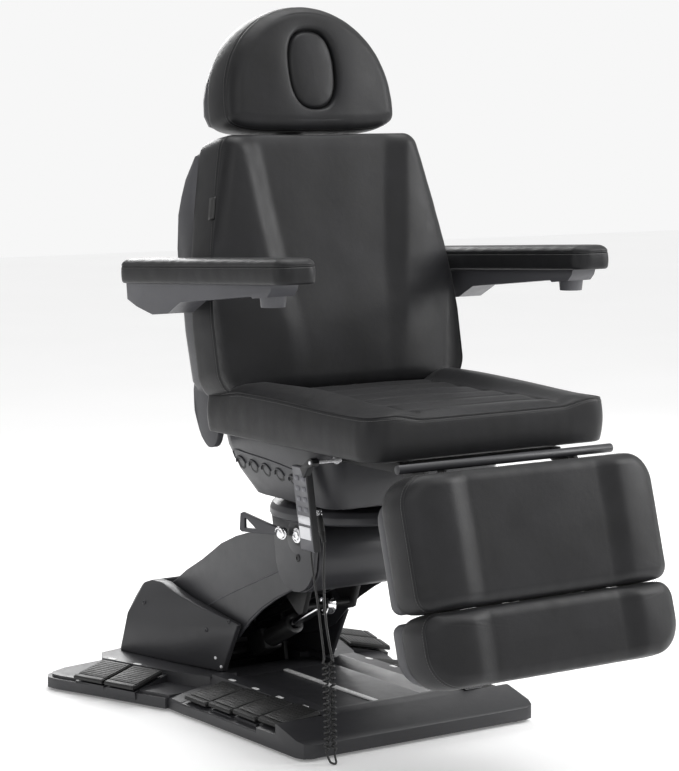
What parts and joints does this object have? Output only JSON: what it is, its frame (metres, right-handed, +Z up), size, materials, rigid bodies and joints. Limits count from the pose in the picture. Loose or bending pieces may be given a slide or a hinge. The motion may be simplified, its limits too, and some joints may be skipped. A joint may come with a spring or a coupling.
{
  "type": "facial treatment bed",
  "caption": "Electrically adjustable facial treatment bed: upholstered seat, backrest, headrest, armrests and leg rest on a swivelling arm lift with a foot pedal base and a corded handset.",
  "frame": {"origin": "where the swivel axis meets the floor, under the base plate's centre pad", "axes": "+Z up; the sitter faces -Y; +X is the sitter's left"},
  "size_m": [0.84, 1.3767, 1.5049],
  "materials": {
    "leather": "soft black leather",
    "plastic": "satin charcoal",
    "shell_plastic": "satin grey",
    "black_steel": "black powder coat",
    "chrome": "polished",
    "rail_steel": "brushed",
    "rubber": "matte black",
    "handset_plastic": "satin grey",
    "key_plastic": "glossy white"
  },
  "bodies": {
    "base": {"base_plate": "black_steel", "base_cover_front": "plastic", "base_cover_rear": "plastic", "guide_strip": "chrome", "tower_bracket": "black_steel", "tower_cover": "plastic"},
    "lift_arm": {"lift_arm_frame": "black_steel", "lift_arm_cover": "plastic"},
    "level_link": {"levelling_link": "black_steel"},
    "lift_cylinder": {"lift_motor": "black_steel"},
    "lift_piston": {"lift_rod": "chrome"},
    "yoke": {"yoke": "black_steel"},
    "swivel_lock": {"swivel_lock_lever": "plastic", "swivel_lock_bolt": "chrome"},
    "turntable": {"turntable": "black_steel"},
    "seat": {"seat_frame": "black_steel", "seat_shroud": "plastic", "seat_cushion": "leather", "handset_hanger": "chrome", "handset_body": "handset_plastic", "cord_plug": "rubber", "cord_lead_handset": "rubber", "cord_coil_a": "rubber", "cord_loop": "rubber", "cord_coil_b": "rubber", "cord_lead_plug": "rubber"},
    "handset_key": {"handset_key": "key_plastic"},
    "leg_rest": {"leg_frame": "black_steel", "leg_bar": "black_steel", "leg_shell": "shell_plastic", "leg_cushion": "leather"},
    "foot_rest": {"foot_rails": "rail_steel", "foot_shell": "shell_plastic", "foot_cushion": "leather", "foot_release_tab": "plastic"},
    "backrest": {"back_frame": "black_steel", "back_shell": "shell_plastic", "back_cushion": "leather", "arm_stud_left": "black_steel", "arm_stud_right": "black_steel"},
    "headrest": {"head_bracket": "black_steel", "head_shell": "shell_plastic", "head_cushion": "leather"},
    "face_plug": {"face_plug": "leather"},
    "arm_right": {"arm_pad_right": "leather", "arm_body_right": "plastic"},
    "arm_left": {"arm_pad_left": "leather", "arm_body_left": "plastic"},
    "pedal_right_1": {"pedal_right_1": "rubber"},
    "pedal_right_2": {"pedal_right_2": "rubber"},
    "pedal_right_3": {"pedal_right_3": "rubber"},
    "pedal_right_4": {"pedal_right_4": "rubber"},
    "pedal_right_5": {"pedal_right_5": "rubber"},
    "pedal_right_6": {"pedal_right_6": "rubber"},
    "pedal_left_1": {"pedal_left_1": "rubber"},
    "pedal_left_2": {"pedal_left_2": "rubber"},
    "pedal_left_3": {"pedal_left_3": "rubber"},
    "pedal_left_4": {"pedal_left_4": "rubber"},
    "pedal_left_5": {"pedal_left_5": "rubber"},
    "pedal_left_6": {"pedal_left_6": "rubber"}
  },
  "joints": [
    {"name": "lift", "type": "hinge", "parent": "base", "child": "lift_arm", "pos_m": [0, 0.44, 0.175], "axis": [-1, 0, 0], "range_deg": [-12, 24], "deforming": ["cord_plug", "cord_lead_handset", "cord_coil_a", "cord_loop", "cord_coil_b", "cord_lead_plug"]},
    {"name": "level_link_pivot", "type": "hinge", "parent": "base", "child": "level_link", "pos_m": [0.0425, 0.445, 0.127], "axis": [-1, 0, 0], "range_deg": [-12, 24]},
    {"name": "yoke_pivot", "type": "hinge", "parent": "lift_arm", "child": "yoke", "pos_m": [0, 0.01, 0.358], "axis": [-1, 0, 0], "range_deg": [-24, 12]},
    {"name": "lift_cylinder_pivot", "type": "hinge", "parent": "base", "child": "lift_cylinder", "pos_m": [0, 0.4, 0.072], "axis": [-1, 0, 0], "range_deg": [-12, 24]},
    {"name": "lift_piston_slide", "type": "slide", "parent": "lift_cylinder", "child": "lift_piston", "axis": [0, -0.8872, 0.4613], "range_m": [-0.024, 0.046]},
    {"name": "swivel_lock", "type": "hinge", "parent": "yoke", "child": "swivel_lock", "pos_m": [-0.15, 0.034, 0.408], "axis": [0.9421, 0.3336, 0.0351], "range_deg": [0, 14], "stiffness_Nm_per_rad": 0.8, "springref_deg": -8.59},
    {"name": "swivel", "type": "hinge", "parent": "yoke", "child": "turntable", "pos_m": [0, 0, 0.48], "axis": [0, 0, 1], "range_deg": [-120, 120]},
    {"name": "seat_tilt", "type": "hinge", "parent": "turntable", "child": "seat", "pos_m": [0, 0.095, 0.508], "axis": [-1, 0, 0], "range_deg": [0, 12]},
    {"name": "handset_key_press", "type": "slide", "parent": "seat", "child": "handset_key", "axis": [0.9917, 0, 0.1283], "range_m": [0, 0.0016], "stiffness_N_per_m": 600, "springref_m": -0.0006},
    {"name": "leg_raise", "type": "hinge", "parent": "seat", "child": "leg_rest", "pos_m": [0, -0.5, 0.585], "axis": [-1, 0, 0], "range_deg": [0, 74]},
    {"name": "foot_extend", "type": "slide", "parent": "leg_rest", "child": "foot_rest", "axis": [0, -0.2716, -0.9624], "range_m": [0, 0.07]},
    {"name": "recline", "type": "hinge", "parent": "seat", "child": "backrest", "pos_m": [0, 0.09, 0.64], "axis": [-1, 0, 0], "range_deg": [0, 78]},
    {"name": "head_tilt", "type": "hinge", "parent": "backrest", "child": "headrest", "pos_m": [0, 0.23267, 1.20081], "axis": [-1, 0, 0], "range_deg": [-3, 28]},
    {"name": "face_plug_pull", "type": "slide", "parent": "headrest", "child": "face_plug", "axis": [0, -0.9799, 0.1994], "range_m": [0, 0.105]},
    {"name": "arm_right_pivot", "type": "hinge", "parent": "backrest", "child": "arm_right", "pos_m": [-0.356, 0.165, 0.903], "axis": [-1, 0, 0], "range_deg": [-80, 85]},
    {"name": "arm_left_pivot", "type": "hinge", "parent": "backrest", "child": "arm_left", "pos_m": [0.356, 0.165, 0.903], "axis": [-1, 0, 0], "range_deg": [-80, 85]},
    {"name": "pedal_right_1_press", "type": "hinge", "parent": "base", "child": "pedal_right_1", "pos_m": [-0.192, 0.172, 0.056], "axis": [0, -1, 0], "range_deg": [0, 2.2], "stiffness_Nm_per_rad": 14, "springref_deg": -1.72},
    {"name": "pedal_right_2_press", "type": "hinge", "parent": "base", "child": "pedal_right_2", "pos_m": [-0.19, 0.079, 0.0585], "axis": [0, -1, 0], "range_deg": [0, 2.2], "stiffness_Nm_per_rad": 14, "springref_deg": -1.72},
    {"name": "pedal_right_3_press", "type": "hinge", "parent": "base", "child": "pedal_right_3", "pos_m": [-0.188, -0.014, 0.061], "axis": [0, -1, 0], "range_deg": [0, 2.2], "stiffness_Nm_per_rad": 14, "springref_deg": -1.72},
    {"name": "pedal_right_4_press", "type": "hinge", "parent": "base", "child": "pedal_right_4", "pos_m": [-0.186, -0.107, 0.0635], "axis": [0, -1, 0], "range_deg": [0, 2.2], "stiffness_Nm_per_rad": 14, "springref_deg": -1.72},
    {"name": "pedal_right_5_press", "type": "hinge", "parent": "base", "child": "pedal_right_5", "pos_m": [-0.26485, 0.40959, 0.056], "axis": [0.309, -0.9511, 0], "range_deg": [0, 2.2], "stiffness_Nm_per_rad": 14, "springref_deg": -1.72},
    {"name": "pedal_right_6_press", "type": "hinge", "parent": "base", "child": "pedal_right_6", "pos_m": [-0.29235, 0.49819, 0.056], "axis": [0.309, -0.9511, 0], "range_deg": [0, 2.2], "stiffness_Nm_per_rad": 14, "springref_deg": -1.72},
    {"name": "pedal_left_1_press", "type": "hinge", "parent": "base", "child": "pedal_left_1", "pos_m": [0.192, 0.172, 0.056], "axis": [0, 1, 0], "range_deg": [0, 2.2], "stiffness_Nm_per_rad": 14, "springref_deg": -1.72},
    {"name": "pedal_left_2_press", "type": "hinge", "parent": "base", "child": "pedal_left_2", "pos_m": [0.19, 0.079, 0.0585], "axis": [0, 1, 0], "range_deg": [0, 2.2], "stiffness_Nm_per_rad": 14, "springref_deg": -1.72},
    {"name": "pedal_left_3_press", "type": "hinge", "parent": "base", "child": "pedal_left_3", "pos_m": [0.188, -0.014, 0.061], "axis": [0, 1, 0], "range_deg": [0, 2.2], "stiffness_Nm_per_rad": 14, "springref_deg": -1.72},
    {"name": "pedal_left_4_press", "type": "hinge", "parent": "base", "child": "pedal_left_4", "pos_m": [0.186, -0.107, 0.0635], "axis": [0, 1, 0], "range_deg": [0, 2.2], "stiffness_Nm_per_rad": 14, "springref_deg": -1.72},
    {"name": "pedal_left_5_press", "type": "hinge", "parent": "base", "child": "pedal_left_5", "pos_m": [0.26485, 0.40959, 0.056], "axis": [0.309, 0.9511, 0], "range_deg": [0, 2.2], "stiffness_Nm_per_rad": 14, "springref_deg": -1.72},
    {"name": "pedal_left_6_press", "type": "hinge", "parent": "base", "child": "pedal_left_6", "pos_m": [0.29235, 0.49819, 0.056], "axis": [0.309, 0.9511, 0], "range_deg": [0, 2.2], "stiffness_Nm_per_rad": 14, "springref_deg": -1.72}
  ],
  "couplings": [
    {"joint": "level_link_pivot", "follows": "lift", "ratio": 1},
    {"joint": "yoke_pivot", "follows": "lift", "ratio": -1},
    {"joint": "lift_cylinder_pivot", "follows": "lift", "ratio": 0.938},
    {"joint": "lift_piston_slide", "follows": "lift", "m_per_rad": 0.1075}
  ]
}
